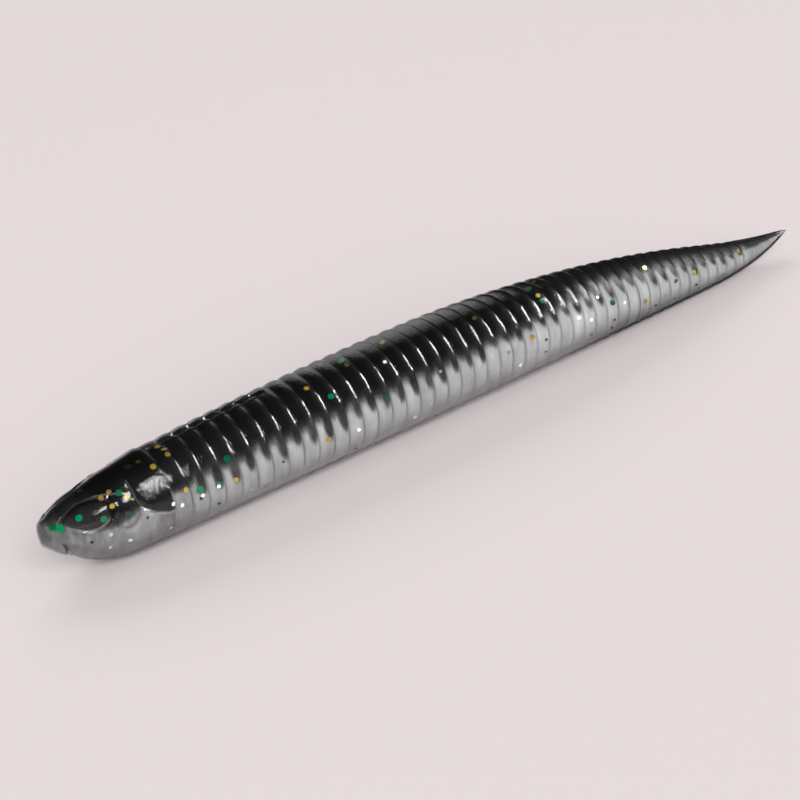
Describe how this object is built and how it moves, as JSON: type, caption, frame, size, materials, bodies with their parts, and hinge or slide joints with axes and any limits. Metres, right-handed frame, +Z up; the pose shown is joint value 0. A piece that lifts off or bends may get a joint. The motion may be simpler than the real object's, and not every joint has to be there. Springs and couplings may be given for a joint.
{
  "type": "soft plastic fishing worm",
  "caption": "Ringed soft plastic worm lure with a moulded head, a hook slot in the neck and a pointed tail, divided into hinged lengths that bend sideways and up and down.",
  "frame": {"origin": "under the middle of the worm's length, on the surface that the belly rests on", "axes": "+X along the worm from the nose towards the tail, +Z up out of the back"},
  "size_m": [0.1, 0.0102, 0.0101],
  "materials": {
    "back_plastisol": "glossy black soft plastisol with green and gold glitter",
    "belly_plastisol": "translucent grey soft plastisol with silver, black, green and gold glitter",
    "glitter": "green, gold and silver metallised film flakes, drawn only in the visual model"
  },
  "bodies": {
    "head": {"head_back": "back_plastisol", "head_belly": "belly_plastisol"},
    "rings_01": {"rings_01_back": "back_plastisol", "rings_01_belly": "belly_plastisol"},
    "rings_02": {"rings_02_back": "back_plastisol", "rings_02_belly": "belly_plastisol"},
    "rings_03": {"rings_03_back": "back_plastisol", "rings_03_belly": "belly_plastisol"},
    "rings_04": {"rings_04_back": "back_plastisol", "rings_04_belly": "belly_plastisol"},
    "rings_05": {"rings_05_back": "back_plastisol", "rings_05_belly": "belly_plastisol"},
    "rings_06": {"rings_06_back": "back_plastisol", "rings_06_belly": "belly_plastisol"},
    "rings_07": {"rings_07_back": "back_plastisol", "rings_07_belly": "belly_plastisol"},
    "rings_08": {"rings_08_back": "back_plastisol", "rings_08_belly": "belly_plastisol"},
    "rings_09": {"rings_09_back": "back_plastisol", "rings_09_belly": "belly_plastisol"},
    "rings_10": {"rings_10_back": "back_plastisol", "rings_10_belly": "belly_plastisol"},
    "tail": {"tail_back": "back_plastisol", "tail_belly": "belly_plastisol"}
  },
  "joints": [
    {"name": "bend_01_side", "type": "hinge", "parent": "head", "child": "rings_01", "pos_m": [-0.03328, 0, 0.00449], "axis": [0, 0, 1], "range_deg": [-20, 20], "stiffness_Nm_per_rad": 0.0022},
    {"name": "bend_02_lift", "type": "hinge", "parent": "rings_01", "child": "rings_02", "pos_m": [-0.02624, 0, 0.0047], "axis": [0, 1, 0], "range_deg": [-20, 20], "stiffness_Nm_per_rad": 0.0027},
    {"name": "bend_03_side", "type": "hinge", "parent": "rings_02", "child": "rings_03", "pos_m": [-0.0192, 0, 0.00485], "axis": [0, 0, 1], "range_deg": [-20, 20], "stiffness_Nm_per_rad": 0.003},
    {"name": "bend_04_lift", "type": "hinge", "parent": "rings_03", "child": "rings_04", "pos_m": [-0.01216, 0, 0.00493], "axis": [0, 1, 0], "range_deg": [-20, 20], "stiffness_Nm_per_rad": 0.0033},
    {"name": "bend_05_side", "type": "hinge", "parent": "rings_04", "child": "rings_05", "pos_m": [-0.00512, 0, 0.00495], "axis": [0, 0, 1], "range_deg": [-20, 20], "stiffness_Nm_per_rad": 0.0033},
    {"name": "bend_06_lift", "type": "hinge", "parent": "rings_05", "child": "rings_06", "pos_m": [0.00192, 0, 0.00485], "axis": [0, 1, 0], "range_deg": [-20, 20], "stiffness_Nm_per_rad": 0.003},
    {"name": "bend_07_side", "type": "hinge", "parent": "rings_06", "child": "rings_07", "pos_m": [0.00896, 0, 0.00461], "axis": [0, 0, 1], "range_deg": [-20, 20], "stiffness_Nm_per_rad": 0.0025},
    {"name": "bend_08_lift", "type": "hinge", "parent": "rings_07", "child": "rings_08", "pos_m": [0.016, 0, 0.00424], "axis": [0, 1, 0], "range_deg": [-20, 20], "stiffness_Nm_per_rad": 0.0018},
    {"name": "bend_09_side", "type": "hinge", "parent": "rings_08", "child": "rings_09", "pos_m": [0.02304, 0, 0.00374], "axis": [0, 0, 1], "range_deg": [-20, 20], "stiffness_Nm_per_rad": 0.0011},
    {"name": "bend_10_lift", "type": "hinge", "parent": "rings_09", "child": "rings_10", "pos_m": [0.03008, 0, 0.0031], "axis": [0, 1, 0], "range_deg": [-20, 20], "stiffness_Nm_per_rad": 0.00051},
    {"name": "bend_11_side", "type": "hinge", "parent": "rings_10", "child": "tail", "pos_m": [0.03712, 0, 0.00236], "axis": [0, 0, 1], "range_deg": [-20, 20], "stiffness_Nm_per_rad": 0.00015}
  ]
}
